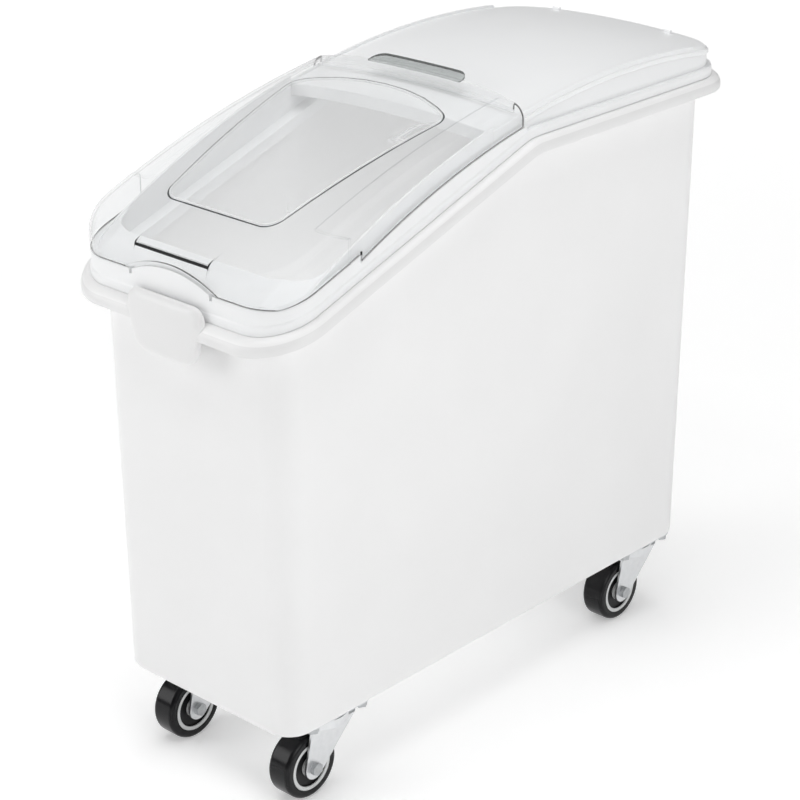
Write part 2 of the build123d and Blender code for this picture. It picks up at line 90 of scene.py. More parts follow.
def round_rectangle(half_x, half_y, corner, end_x, side_y, steps):
    """Outline seen from above, from the middle of the front round by the right, and its outward normals.
    Each point is a corner's centre, or a station between two centres, pushed out by the corner's radius."""
    turn = np.linspace(0, np.pi / 2, steps + 1)
    along_x = np.concatenate([end_x, 0 * turn + half_x - corner, 0 * side_y + half_x - corner])
    along_y = np.concatenate([0 * end_x, 0 * turn, side_y + half_y - corner]) - half_y + corner
    out_x = np.concatenate([0 * end_x, np.sin(turn), 0 * side_y + 1])
    out_y = np.concatenate([0 * end_x - 1, -np.cos(turn), 0 * side_y])
    half = np.stack([along_x, along_y, out_x, out_y], axis=1)
    rear = len(end_x) + len(turn)
    half = np.concatenate([half, half[:rear][::-1] * [1, -1, 1, -1]])
    whole = np.concatenate([half, half[-2:0:-1] * [-1, 1, -1, 1]])
    centre, normal = whole[:, :2], whole[:, 2:]
    return centre + corner * normal, normal


def rim_columns(step, side_breaks=(), end_breaks=()):
    """The rim's outline, with stations a step apart on its straight runs."""
    corner_steps = 20
    half_side = rim_y - rim_corner
    half_end = rim_x - rim_corner
    side_y = stations(-half_side, half_side, step, side_breaks)[1:-1]
    end_x = stations(0, half_end, step, end_breaks)[:-1]
    return round_rectangle(rim_x, rim_y, rim_corner, end_x, side_y, corner_steps)


def rim_height(y):
    """Side line of the rim: a straight rise from the front, an arc round the bend, then level."""
    angle = math.atan(rim_slope)
    run = rim_bend_radius * math.tan(angle / 2)
    arc_end = rim_bend_y + run
    drop = np.sqrt(np.clip(rim_bend_radius**2 - (y - arc_end) ** 2, 0, None))
    line = rim_rear_z + rim_slope * (y - rim_bend_y)
    bent = np.where(y < arc_end, rim_rear_z - rim_bend_radius + drop, rim_rear_z)
    return np.where(y < rim_bend_y - run * math.cos(angle), line, bent)


def rows(**terms):
    """A stretch of a profile: arrays of one value per row, all brought to one length."""
    return dict(zip(terms, np.broadcast_arrays(*[np.atleast_1d(v) for v in terms.values()])))


def arc_rows(inset, offset, radius, start, end, steps=7, **terms):
    """A round stretch of a profile. At 0 degrees it points outwards, at 90 upwards."""
    angle = np.radians(np.linspace(start, end, steps))
    return rows(inset=inset - radius * np.cos(angle), offset=offset + radius * np.sin(angle), **terms)


def gathered(stretches, term):
    """One term of all stretches, as a column of rows; it is nought where a stretch doesn't give it."""
    lengths = [len(next(iter(s.values()))) for s in stretches]
    return np.concatenate([s.get(term, np.zeros(n)) for s, n in zip(stretches, lengths)])[:, None]


def raised(place, z):
    """Points (x, y) with their heights added."""
    return np.concatenate([place, z[..., None]], axis=-1)


def rim_sweep(columns, stretches, lines, shift=0.0, lift=0.0):
    """Carries a profile round the rim. A row stands inset from the rim's edge, drawn in further by its share
    of each column's shift and of the draft below the level rim, at a height of its offset plus its share of
    each column's lift and of each side line. Gather then pulls it to a spine along the middle."""
    base, normal = columns
    level = 0 * base[None, :, 1]
    inset = gathered(stretches, "inset") + gathered(stretches, "shift") * (shift + level)
    drawn = inset
    draft_passes = 3
    for _ in range(draft_passes):
        place = base[None] - drawn[..., None] * normal[None]
        z = gathered(stretches, "offset") + gathered(stretches, "lift") * (lift + level)
        for term, line in lines.items():
            z = z + gathered(stretches, term) * line(place[..., 1])
        drawn = inset + gathered(stretches, "draft") * tub_draft * (rim_rear_z - z)
    spine_end = rim_y - rim_x
    spine_y = np.clip(place[..., 1], -spine_end, spine_end)
    spine = np.stack([0 * spine_y, spine_y], axis=-1)
    place = place + gathered(stretches, "gather")[..., None] * (spine - place)
    return raised(place, z)


def closed(grid):
    """Joins a grid's last column to its first."""
    return np.concatenate([grid, grid[:, :1]], axis=1)


def capped(grid):
    """Closes a grid's first and last columns, each to its own middle."""
    middles = np.repeat(grid[:, [0, -1]].mean(axis=0, keepdims=True), len(grid), axis=0)
    return np.concatenate([middles[:, :1], grid, middles[:, 1:]], axis=1)


def placed(name, data):
    """A new object in the scene."""
    thing = bpy.data.objects.new(name, data)
    bpy.context.scene.collection.objects.link(thing)
    return thing


def surface(name, grids, materials, body, crease=32, finishes=None):
    """One piece from grids of points, each (rows, columns, 3): four neighbours make a face, and borders
    that meet are welded. Finishes say which material each face of a grid has. Edges sharper than the crease
    angle stay crisp."""
    points = np.concatenate([grid.reshape(-1, 3) for grid in grids])
    quads = []
    count = 0
    for grid in grids:
        index = count + np.arange(grid.shape[0] * grid.shape[1]).reshape(grid.shape[:2])
        corners = (index[:-1, :-1], index[:-1, 1:], index[1:, 1:], index[1:, :-1])
        quads.append(np.stack(corners, axis=-1).reshape(-1, 4))
        count = count + index.size
    mesh = bpy.data.meshes.new(name)
    mesh.from_pydata(points.tolist(), [], np.concatenate(quads).tolist())
    if finishes:
        mesh.polygons.foreach_set("material_index", np.concatenate([finish.ravel() for finish in finishes]))
    shape = bmesh.new()
    shape.from_mesh(mesh)
    bmesh.ops.remove_doubles(shape, verts=shape.verts, dist=hair / 10)
    bmesh.ops.recalc_face_normals(shape, faces=shape.faces)
    shape.to_mesh(mesh)
    shape.free()
    mesh.shade_smooth()
    mesh.set_sharp_from_angle(angle=math.radians(crease))
    for material in materials:
        mesh.materials.append(material)
    piece = placed(name, mesh)
    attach(piece, body)
    return piece


def new_material(name):
    """An empty material with its shader, and its Object coordinates."""
    material = bpy.data.materials.new(name)
    material.use_nodes = True
    tree = material.node_tree
    place = tree.nodes.new("ShaderNodeTexCoord")
    return material, tree, tree.nodes["Principled BSDF"], place.outputs["Object"]


def noise(tree, place, scale, detail=3.0):
    """Cloudy noise of about so many lumps to the metre."""
    cloud = tree.nodes.new("ShaderNodeTexNoise")
    cloud.inputs["Scale"].default_value = scale
    cloud.inputs["Detail"].default_value = detail
    tree.links.new(place, cloud.inputs["Vector"])
    return cloud.outputs["Fac"]


def shade_between(tree, factor, low, high):
    """A colour that runs from low to high as the factor runs over the middle of its range."""
    ramp = tree.nodes.new("ShaderNodeValToRGB")
    ramp.color_ramp.elements[0].position = 0.3
    ramp.color_ramp.elements[0].color = (*low, 1)
    ramp.color_ramp.elements[1].position = 0.7
    ramp.color_ramp.elements[1].color = (*high, 1)
    tree.links.new(factor, ramp.inputs["Fac"])
    return ramp.outputs["Color"]


def spread(tree, factor, low, high):
    """A number that runs from low to high with the factor."""
    span = tree.nodes.new("ShaderNodeMapRange")
    span.inputs["To Min"].default_value = low
    span.inputs["To Max"].default_value = high
    tree.links.new(factor, span.inputs["Value"])
    return span.outputs["Result"]


def roughen(tree, shader, factor, depth, strength):
    """Raises the surface by the factor, up to the given depth in metres."""
    bump = tree.nodes.new("ShaderNodeBump")
    bump.inputs["Distance"].default_value = depth
    bump.inputs["Strength"].default_value = strength
    tree.links.new(factor, bump.inputs["Height"])
    tree.links.new(bump.outputs["Normal"], shader.inputs["Normal"])


def moulded_plastic(name, low, high, smooth, rough):
    """Moulded skin: faint cloudy tone, a fine orange-peel grain and gloss that varies a little."""
    clouds, gloss_patches, grains = 7, 23, 420
    grain_depth, grain_strength = 0.1 * mm, 0.12
    material, tree, shader, place = new_material(name)
    tone = shade_between(tree, noise(tree, place, clouds), low, high)
    tree.links.new(tone, shader.inputs["Base Color"])
    gloss = spread(tree, noise(tree, place, gloss_patches), smooth, rough)
    tree.links.new(gloss, shader.inputs["Roughness"])
    roughen(tree, shader, noise(tree, place, grains, 2.0), grain_depth, grain_strength)
    return material


tub_white = moulded_plastic("tub_white", (0.875, 0.875, 0.875), (0.895, 0.895, 0.895), 0.3, 0.4)
# A darker copy of the tub's white: painted shade for the lip's face and underside and for the pull tongue.
painted_shade_white = moulded_plastic("painted_shade_white", (0.785, 0.785, 0.785), (0.805, 0.805, 0.805), 0.3, 0.4)
tub_columns = rim_columns(5 * mm)
recess_inset = lip_overhang + tub_draft * (rim_rear_z - foot_z) + foot_ring
recess_z = foot_z + floor_recess
lift = np.linspace(0, 1, 5)
foot_top = foot_z + foot_round
hollow_low = -lip_skin - hollow_fillet
cove_top = floor_z + floor_cove
inner_inset = lip_overhang + tub_wall
hem = lip_skin / 2
tub_profile = [
    rows(inset=recess_inset, offset=recess_z, gather=1),
    arc_rows(recess_inset + edge_round, recess_z - edge_round, edge_round, 90, 0, 3),
    arc_rows(recess_inset - edge_round, foot_z + edge_round, edge_round, 180, 270, 3),
    arc_rows(lip_overhang + foot_round, foot_top, foot_round, -90, 0, draft=1),
    rows(inset=lip_overhang, offset=(1 - lift) * foot_top + lift * hollow_low, rim=lift, draft=1),
    arc_rows(lip_overhang - hollow_fillet, hollow_low, hollow_fillet, 180, 90, rim=1, draft=1),
    arc_rows(lip_round, -lip_round, lip_round - lip_skin, 90, 0, rim=1),
    arc_rows(hem, hem - lip_drop, hem, 180, 360, rim=1),
    arc_rows(lip_round, -lip_round, lip_round, 0, 90, 13, rim=1),
    arc_rows(inner_inset - edge_round, -edge_round, edge_round, 90, 180, 4, rim=1, draft=1),
    rows(inset=inner_inset, offset=lift * cove_top - (1 - lift) * edge_round, rim=1 - lift, draft=1),
    arc_rows(inner_inset + floor_cove, cove_top, floor_cove, 0, -90, draft=1),
    rows(inset=inner_inset + floor_cove, offset=floor_z, gather=1),
]
tub_grids = [closed(rim_sweep(tub_columns, tub_profile, {"rim": rim_height}))]
stretch_starts = np.cumsum([0] + [len(stretch["inset"]) for stretch in tub_profile])
hollow_start, lip_round_start = stretch_starts[[5, 8]]
# The lip's hollow, underside, hem and the lower part of its round take the painted shade.
lip_shade_rows = slice(hollow_start, lip_round_start + shade_steps)

pad_corner = 4 * mm
pad_margin = 6 * mm
rib_half = 2 * mm


def floor_block(centre, half_x, half_y, corner):
    """A block under the floor with its head sunk in it: the outline is drawn in at the foot by an edge round,
    and gathered to a line at both ends."""
    base, normal = round_rectangle(half_x, half_y, corner, np.zeros(1), np.zeros(0), 4)
    inset = np.array([0, 0, 0, edge_round, edge_round])[:, None, None]
    place = base[None] - inset * normal[None]
    half = np.array([half_x, half_y])
    reach = half - half.min()
    place[[0, -1]] = np.clip(base, -reach, reach)
    place = inside_recess(place + np.array(centre))
    head_z = (recess_z + floor_z) / 2
    height = np.array([head_z, head_z, foot_z + edge_round, foot_z, foot_z])[:, None]
    return closed(raised(place, height + 0 * place[..., 0]))


def inside_recess(place):
    """Points past the recess's round-cornered outline are brought back to it."""
    corner = rim_corner - recess_inset
    core = np.array([rim_x, rim_y]) - rim_corner
    past = np.abs(place) - core
    length = np.linalg.norm(np.clip(past, 0, None), axis=-1, keepdims=True)
    share = np.minimum(1, corner / np.maximum(length, hair))
    held = np.where(past > 0, core + past * share, np.abs(place))
    return np.sign(place) * held


plate_boxes = {corner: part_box("plate_" + corner) for corner in caster_corners}
for low, high in plate_boxes.values():
    middle = (low + high) / 2
    half = (high - low) / 2
    tub_grids.append(floor_block(middle[:2], half.x + pad_margin, half.y + pad_margin, pad_corner))
front_axle_y = sum(plate_boxes["fl"], Vector()).y / 2
rear_axle_y = sum(plate_boxes["rl"], Vector()).y / 2
tub_grids.append(floor_block((0, 0), rib_half, rim_y - recess_inset, rib_half / 2))
for rib_y in (front_axle_y / 2, 0, rear_axle_y / 2):
    tub_grids.append(floor_block((0, rib_y), rim_x - recess_inset, rib_half, rib_half / 2))
tub_finishes = [np.zeros((len(grid) - 1, grid.shape[1] - 1), dtype=np.int32) for grid in tub_grids]
tub_finishes[0][lip_shade_rows] = 1
tub = surface("tub_shell", tub_grids, [tub_white, painted_shade_white], "bin", finishes=tub_finishes)
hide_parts("bin_body")

# Pull tongue: a rounded shield moulded in one with the front of the lip and hollow behind, for tipping and
# pulling the bin. Its face is slightly pillowed, and its top runs back over the lip to the lid frame's bead.
tongue_top_half = 61 * mm
tongue_foot_half = 41 * mm
tongue_top_z = rim_front_z + 19 * mm
tongue_foot_z = rim_front_z - 46 * mm
tongue_top_round = 15 * mm
tongue_foot_round = 22 * mm
tongue_pillow = 4 * mm
tongue_root = 10.6 * mm
tongue_blend = 6 * mm
tongue_swell = 0.28
hollow_share, hollow_depth = 0.92, 1.2
brim_share, brim_depth = 0.97, 2.1
root_shares = (0.88, 0.9, 0.91)
edge_depth = 2
tongue_face_y = tub_low.y


def rounded_polygon(points, radius, steps):
    """Closed outline of straight runs and corner arcs. Each arc turns from one run's outward normal to the
    next about a centre that lies a radius inside both runs; corners can have a radius each."""
    radius = np.reshape(radius, (-1, 1))
    ahead = np.roll(points, -1, axis=0) - points
    ahead = ahead / np.linalg.norm(ahead, axis=1, keepdims=True)
    leaving = np.stack([ahead[:, 1], -ahead[:, 0]], axis=1)
    coming = np.roll(leaving, 1, axis=0)
    reach = radius / (1 + (leaving * coming).sum(axis=1, keepdims=True))
    centre = points - reach * (leaving + coming)
    start = np.arctan2(coming[:, 1], coming[:, 0])
    turn = (np.arctan2(leaving[:, 1], leaving[:, 0]) - start + np.pi) % (2 * np.pi) - np.pi
    angle = start[:, None] + turn[:, None] * np.linspace(0, 1, steps)
    arcs = centre[:, None] + radius[:, None] * np.stack([np.cos(angle), np.sin(angle)], axis=-1)
    return arcs.reshape(-1, 2)


def evenly(line, count):
    """A line taken again at so many equal steps along its length."""
    length = np.concatenate([[0], np.cumsum(np.linalg.norm(np.diff(line, axis=0), axis=1))])
    step = np.linspace(0, length[-1], count + 1)
    return np.stack([np.interp(step, length, line[:, axis]) for axis in (0, 1)], axis=1)


def evenly_round(outline, count):
    """A closed outline taken again at so many equal steps."""
    return evenly(np.concatenate([outline, outline[:1]]), count)[:-1]


tongue_corners = np.array(
    [
        (-tongue_foot_half, tongue_foot_z),
        (tongue_foot_half, tongue_foot_z),
        (tongue_top_half, tongue_top_z),
        (-tongue_top_half, tongue_top_z),
    ]
)
tongue_rounds = [tongue_foot_round, tongue_foot_round, tongue_top_round, tongue_top_round]
tongue_outline = evenly_round(rounded_polygon(tongue_corners, tongue_rounds, 9), 120)
tongue_middle = tongue_outline.mean(axis=0)
# Each row is the outline shrunk to a share of its size, at a depth behind the face counted in pillows.
over_lip = np.clip((tongue_outline[:, 1] - rim_front_z) / tongue_blend, 0, 1)[None]
swell = np.radians(np.linspace(0, 90, 10))[:, None] + 0 * over_lip
root_depth = (tongue_root - rim_y - tongue_face_y) / tongue_pillow
hollow = [(0, hollow_depth), (hollow_share, hollow_depth)]
brim = [(hollow_share, brim_depth), (brim_share, brim_depth)]
back_below = np.array(hollow + brim + [(1, edge_depth)])[..., None]
solid = [(share, root_depth) for share in root_shares]
back_above = np.array(hollow[:1] + solid + [(1, edge_depth)])[..., None]
back_scale, back_depth = np.moveaxis(back_below + over_lip * (back_above - back_below), 1, 0)
face_scale = np.array([0.4, 0])[:, None] + 0 * over_lip
face_depth = np.array([-0.06, -0.1])[:, None] + 0 * over_lip
tongue_scale = np.concatenate([back_scale, 1 - tongue_swell * (1 - np.cos(swell)), face_scale])
tongue_depth = np.concatenate([back_depth, (1 + over_lip) * (1 - np.sin(swell)), face_depth])
tongue_place = tongue_middle + tongue_scale[..., None] * (tongue_outline - tongue_middle)[None]
tongue_y = tongue_face_y + tongue_pillow * tongue_depth
tongue_grid = np.stack([tongue_place[..., 0], tongue_y, tongue_place[..., 1]], axis=-1)
# The tongue takes the painted shade white, darker than the tub, which stands in for its shading.
surface("pull_tongue", [closed(tongue_grid)], [painted_shade_white], "bin")

# Lid frame collar: the white ring that drops over the rim, with a plug in the mouth, a rounded bead on the
# lip, a ledge for the clear lid, a wall whose top is the slide rail and a deck behind its front wall.
# It is injection moulded in one with the rear cover.
slide_joint = next(joint for joint in frame["joints"] if joint["name"] == "lid_slide")
slide_y, slide_z = slide_joint["pos_m"][1:]
slide_radius = 1013 * mm
rail_rise = 3 * mm
rail_radius = slide_radius + rail_rise
seat_gap = 0.3 * mm
flange_thickness = 3 * mm
bead_inset = 11 * mm
bead_rise = 11.3 * mm
bead_round = 3 * mm
plug_gap = 0.8 * mm
plug_wall = 3 * mm
plug_depth = 10 * mm
frame_inset = 17 * mm
frame_wall = 3 * mm
ledge_inset = 12 * mm
ledge_radius = slide_radius - 15 * mm
ledge_front_z = rim_front_z + 32.7 * mm
ledge_level_y = -rim_y + 26.5 * mm
ledge_step_y = -rim_y + 124.5 * mm
ledge_step_rise = 7.9 * mm
lid_gap = 0.3 * mm
arch_half = 67 * mm
arch_rise = 17 * mm
arch_gap = 5 * mm
arch_radius = (arch_half**2 + arch_rise**2) / (2 * arch_rise)
nick_width = 4 * mm
nick_depth = 6 * mm
lid_rear_y = rim_bend_y - 12 * mm
ledge_end_y = lid_rear_y + 4 * mm
cover_front_y = lid_rear_y - 43 * mm
cover_foot_drop = 13 * mm


def slide_height(y, radius):
    """Height of a circle of this radius about the axis that the clear lid slides round."""
    return slide_z + np.sqrt(radius**2 - (y - slide_y) ** 2)


ledge_step_z = slide_height(ledge_step_y, ledge_radius) + ledge_step_rise


def ledge_height(y):
    """Line that the clear lid stands on: level in front, a straight rise, a step down to the slide arc."""
    share = np.clip((y - ledge_level_y) / (ledge_step_y - ledge_level_y), 0, 1)
    front = ledge_front_z + share * (ledge_step_z - ledge_front_z)
    return np.where(y < ledge_step_y, front, slide_height(y, ledge_radius))


def ledge_top(y):
    """Top of the ledge, which ends behind the clear lid and leaves the bead."""
    return np.where(y < ledge_end_y, ledge_height(y), rim_height(y) + bead_rise)


def wall_top(y):
    """Top of the inner wall: the higher of the ledge and the rail, then the foot of the dome."""
    rail = np.maximum(ledge_height(y), slide_height(y, rail_radius))
    return np.where(y < cover_front_y, rail, slide_height(y, slide_radius - cover_foot_drop))


def arch_over_ledge(x, radius):
    """Rise over the front ledge of a circle across the bin about the centre of the arch in the lid's edge."""
    return lid_gap + arch_rise - arch_radius + np.sqrt(np.clip(radius**2 - x**2, 0, None))


frame_white = moulded_plastic("frame_white", (0.872, 0.88, 0.886), (0.89, 0.897, 0.902), 0.3, 0.4)
upstand_radius = arch_radius - arch_gap
upstand_half = math.sqrt(upstand_radius**2 - (arch_radius - arch_rise - lid_gap) ** 2)
nick_end = upstand_half + nick_width
collar_columns = rim_columns(4 * mm, (ledge_step_y, cover_front_y, ledge_end_y), (upstand_half, nick_end))
collar_x = np.abs(collar_columns[0][:, 0])
collar_y = collar_columns[0][:, 1]
behind_ledge = (collar_y > ledge_end_y) * (frame_inset - ledge_inset)
in_nick = (collar_x > upstand_half) & (collar_x < nick_end)
upstand = np.maximum(0, arch_over_ledge(collar_x, upstand_radius)) - nick_depth * in_nick
upstand = upstand * (collar_y < 0)
collar_edge = 0.7 * mm
plug_inset = inner_inset + plug_gap
wall_inner = frame_inset + frame_wall
mouth_inset = plug_inset + plug_wall
bead_turn = np.radians(np.linspace(0, 90, 7))
bead_in = np.minimum(bead_inset + bead_round * (1 - np.cos(bead_turn)), ledge_inset)
collar_profile = [
    rows(inset=plug_inset, offset=[-plug_depth, seat_gap], rim=1, draft=1),
    arc_rows(bead_inset + collar_edge, seat_gap + collar_edge, collar_edge, 270, 360, 3, rim=1),
    rows(inset=bead_in, offset=bead_rise - bead_round * (1 - np.sin(bead_turn)), rim=1),
    rows(inset=ledge_inset, offset=bead_rise, rim=1, shift=1),
    arc_rows(ledge_inset + collar_edge, -collar_edge, collar_edge, 0, 90, 4, ledge=1, shift=1, lift=1),
    rows(inset=frame_inset, offset=2 * hair, ledge=1, lift=1),
    arc_rows(frame_inset + collar_edge, -collar_edge, collar_edge, 0, 90, 4, wall=1, lift=1),
    arc_rows(wall_inner - collar_edge, -collar_edge, collar_edge, 90, 180, 4, wall=1, lift=1),
    arc_rows(wall_inner + edge_round, flange_thickness + edge_round, edge_round, 0, -90, 3, rim=1),
    arc_rows(mouth_inset - edge_round, flange_thickness - edge_round, edge_round, 90, 180, 3, rim=1, draft=1),
    rows(inset=mouth_inset, offset=-plug_depth, rim=1, draft=1),
    rows(inset=plug_inset, offset=-plug_depth, rim=1, draft=1),
]
collar_lines = {"rim": rim_height, "ledge": ledge_top, "wall": wall_top}
collar_grid = closed(rim_sweep(collar_columns, collar_profile, collar_lines, behind_ledge, upstand))

deck_half = rim_x - 46 * mm
deck_radius = slide_radius + 13 * mm
deck_skin = 3 * mm
deck_corner = 45 * mm
deck_front_y = -rim_y + 51.5 * mm
deck_end_y = deck_front_y + deck_corner
wall_middle = frame_inset + frame_wall / 2


def front_bay(half_x, fore_y, corner):
    """Outline open to the rear, at equal steps: along a side, round its corner and across the front to the
    middle, then the mirror image of that."""
    turn = np.linspace(0, np.pi / 2, 13)
    out = np.stack([np.cos(turn), -np.sin(turn)], axis=1)
    arc = np.array([half_x - corner, fore_y + corner]) + corner * out
    flank = evenly(np.concatenate([[(half_x, deck_end_y)], arc]), 24)
    front = evenly(np.array([(half_x - corner, fore_y), (0, fore_y)]), 16)
    right = np.concatenate([flank, front[1:]])
    return np.concatenate([right, right[-2::-1] * [-1, 1]])


def deck_height(x, y):
    """Top of the deck: a circle about the slide axis whose radius falls away towards the side walls."""
    fall = np.clip((np.abs(x) - deck_half) / (rim_x - wall_inner - deck_half), 0, 1)
    return slide_height(y, deck_radius + fall * (rail_radius - edge_round - deck_radius))


deck_wall_line = front_bay(rim_x - wall_middle, wall_middle - rim_y, rim_corner - wall_middle)
deck_mouth_line = front_bay(rim_x - wall_inner, deck_front_y, deck_corner)
# The deck's section: shares of the way from the wall to the mouth, and drops below its top counted in skins.
deck_share = np.array([0, 0.2, 0.4, 0.6, 0.8, 0.93, 0.98, 1, 1, 0.98, 0.93, 0, 0])[:, None, None]
deck_drop = deck_skin * np.array([0, 0, 0, 0, 0, 0, 0.15, 0.4, 0.6, 0.85, 1, 1, 0])[:, None]
deck_place = deck_wall_line[None] + deck_share * (deck_mouth_line - deck_wall_line)[None]
deck_z = deck_height(deck_place[..., 0], deck_place[..., 1]) - deck_drop
deck_grid = capped(raised(deck_place, deck_z))
collar = surface("lid_collar", [collar_grid, deck_grid], [frame_white], "lid_frame")

# Rear cover: the domed hood that closes the rear half of the bin, moulded in one with the collar.
# It is crowned across, with two rails, a proud seam bead, a turned-down front edge and two stops at the rear.
crown_half = 142 * mm
cover_crown_rise = 2.5 * mm
cover_crown_fall = 7 * mm
cover_skin = 3 * mm
cover_round = 6 * mm
rail_width = 3.5 * mm
rail_end_y = rim_y - 76.5 * mm
seam_proud = 1.9 * mm
seam_bevel = 0.8 * mm
seam_top = -7 * mm
seam_foot = -12 * mm
stop_x = rim_x - 83 * mm
stop_y = rim_y - 37.5 * mm
stop_half = 5 * mm
stop_length = 6 * mm
stop_rise = 5 * mm
brow_drop = 13 * mm


def cover_crown(x):
    """How far the dome stands over the slide circle: a parabola across the bin."""
    return cover_crown_rise - cover_crown_fall * (x / crown_half) ** 2


def bar(section, x_low, x_high, end_round):
    """A closed section of (y, z) points carried straight across the bin, drawn in a little at its ends."""
    loop = np.concatenate([section, section[:1]])
    middle = section.mean(axis=0)
    place = np.array([x_low, x_low + end_round, x_high - end_round, x_high])
    end_share = 0.8
    share = np.array([end_share, 1, 1, end_share])
    spread_out = middle + share[None, :, None] * (loop - middle)[:, None]
    x = place[None, :, None] + 0 * spread_out[..., :1]
    return capped(np.concatenate([x, spread_out], axis=-1))


cover_base, cover_normal = rim_columns(5 * mm, (cover_front_y, lid_rear_y, rail_end_y))
over_cover = cover_base[:, 1] > cover_front_y
cover_base, cover_normal = cover_base[over_cover], cover_normal[over_cover]
proud = seam_proud * (cover_base[:, 1] > lid_rear_y)
bevel = np.minimum(seam_bevel, proud)
level_in = 0 * proud + frame_inset
proud_in = level_in - proud
bevel_in = proud_in + bevel
seam_in = np.stack([level_in, level_in, bevel_in, proud_in, proud_in, bevel_in, level_in])
seam_low = seam_foot + seam_bevel
seam_high = seam_top - seam_bevel
seam_up = np.array([-cover_foot_drop, seam_foot, seam_foot, seam_low, seam_high, seam_top, seam_top])
rail_rows = [
    rows(inset=frame_inset, offset=[-cover_round, 0]),
    arc_rows(frame_inset + collar_edge, rail_rise - collar_edge, collar_edge, 0, 90, 3),
    arc_rows(frame_inset + rail_width - collar_edge, rail_rise - collar_edge, collar_edge, 90, 180, 3),
    rows(inset=frame_inset + rail_width, offset=0),
    rows(inset=frame_inset + 2 * cover_round, offset=0),
]
round_rows = [arc_rows(frame_inset + cover_round, -cover_round, cover_round, 0, 90, 9)]
round_rows.append(rows(inset=frame_inset + 2 * cover_round, offset=0))
railed = (cover_base[:, 1] < rail_end_y)[None]
edge_in = np.where(railed, gathered(rail_rows, "inset"), gathered(round_rows, "inset"))
edge_up = np.where(railed, gathered(rail_rows, "offset"), gathered(round_rows, "offset"))
crown = np.linspace(0, 1, 10)[1:, None]
cover_in = np.concatenate([seam_in, edge_in, 0 * crown + edge_in[-1:]])
cover_up = np.concatenate([seam_up[:, None] + 0 * seam_in, edge_up, 0 * crown + edge_up[-1:]])
cover_pull = np.concatenate([0 * seam_in, 0 * edge_in, crown + 0 * edge_in[-1:]])
cover_place = cover_base[None] - cover_in[..., None] * cover_normal[None]
spine_y = np.minimum(cover_base[:, 1], rim_y - rim_x)
cover_spine = np.stack([0 * spine_y, spine_y], axis=1)
cover_place = cover_place + cover_pull[..., None] * (cover_spine[None] - cover_place)
above_seam = (np.arange(len(cover_up)) > len(seam_up))[:, None]
cover_level = slide_radius + cover_up + above_seam * cover_crown(cover_place[..., 0])
cover_z = slide_height(cover_place[..., 1], cover_level)
cover_grid = raised(cover_place, cover_z)
dome = surface("rear_dome", [cover_grid], [frame_white], "lid_frame")
shell = dome.modifiers.new("wall", "SOLIDIFY")
shell.thickness = cover_skin
shell.offset = -1
brow_x = np.linspace(-1, 1, 29)[None] * (rim_x - wall_inner)
brow_y = cover_front_y + cover_skin * np.array([0, 0, 1, 1, 0])[:, None] + 0 * brow_x
brow_up = np.array([-brow_drop, -collar_edge, -collar_edge, -brow_drop, -brow_drop])[:, None]
brow_z = slide_height(brow_y, slide_radius + brow_up + cover_crown(brow_x))
fittings = [capped(np.stack([brow_x + 0 * brow_y, brow_y, brow_z], axis=-1))]
# The stops' section: shares of their length along the bin, and of their rise over the dome.
stop_run = np.array([0, 0, 0.3, 0.8, 1])
stop_up = np.array([0, 0.7, 1, 0.9, 0])
stop_level = slide_radius + cover_crown(stop_x) - collar_edge + stop_rise * stop_up
stop_places = stop_y + stop_length * stop_run
stop_section = np.stack([stop_places, slide_height(stop_places, stop_level)], axis=1)
for side in (-1, 1):
    fittings.append(bar(stop_section, side * stop_x - stop_half, side * stop_x + stop_half, edge_round))
surface("cover_brow_and_stops", fittings, [frame_white], "lid_frame")
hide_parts("lid_frame")

# Clear front lid: a thin polished polycarbonate moulding that stands on the ledge and slides back over the
# dome. It has a skirt, a soft edge, a raised window, a finger visor over an arch and a turned-down rear edge.
lid_inset = 11.5 * mm
lid_skin = 2.5 * mm
lid_crown_rise = 8.5 * mm
lid_crown_fall = 11.5 * mm
lid_arc_radius = 1328 * mm
lid_edge_round = 14 * mm
lid_rear_z = float(slide_height(lid_rear_y, slide_radius)) + 12.3 * mm
strip_inset = 42 * mm
strip_x = rim_x - strip_inset
strip_front_y = -rim_y + 93.5 * mm
strip_depth = 0.8 * mm
strip_slope = 0.5 * mm
strip_lean = 18 * mm
slit_width = 3 * mm
slit_mark = 4 * mm
visor_half = 53 * mm
visor_setback = 3.6 * mm
visor_round = 1 * mm
rear_lip_clear = 2.5 * mm
window_front_y = -rim_y + 76.5 * mm
window_rear_y = lid_rear_y - 72 * mm
window_bow = 28 * mm
window_rear_half = strip_x - 12 * mm
window_front_half = window_rear_half - 32 * mm
window_corner = 20 * mm
window_rise = 1.8 * mm
window_round = 1.2 * mm
window_groove = 1.9 * mm
window_land = 0.4 * mm
window_field_shares = (1, 0.75, 0.5, 0.25, 0)
edge_gloss = 0.12
clear_face, groove_shade_face, painted_shade_edge_face, highlight_face, seam_shade_face, inside_face = range(6)


def arc_centre(first, last, radius):
    """Centre below a circle through two points (y, z): half the chord back, then square to it."""
    run, rise = last[0] - first[0], last[1] - first[1]
    chord = math.hypot(run, rise)
    depth = math.sqrt(radius**2 - chord**2 / 4)
    middle_y, middle_z = (first[0] + last[0]) / 2, (first[1] + last[1]) / 2
    return middle_y + depth * rise / chord, middle_z - depth * run / chord


lid_front = (-rim_y + lid_inset, rim_front_z + 60.5 * mm)
lid_arc_y, lid_arc_z = arc_centre(lid_front, (lid_rear_y, lid_rear_z), lid_arc_radius)


def lid_crown(x, y):
    """Crown of the lid across its width: a cubic fall to either side that fades out, with the square of the
    distance, from the rear edge to the front."""
    share = np.clip((y - lid_front[0]) / (lid_rear_y - lid_front[0]), 0, 1)
    return share**2 * (lid_crown_rise - lid_crown_fall * np.abs(x / crown_half) ** 3)


def lid_top(x, y):
    """Height of the lid: a flat arc along the bin, and the crown across it."""
    return lid_arc_z + np.sqrt(lid_arc_radius**2 - (y - lid_arc_y) ** 2) + lid_crown(x, y)


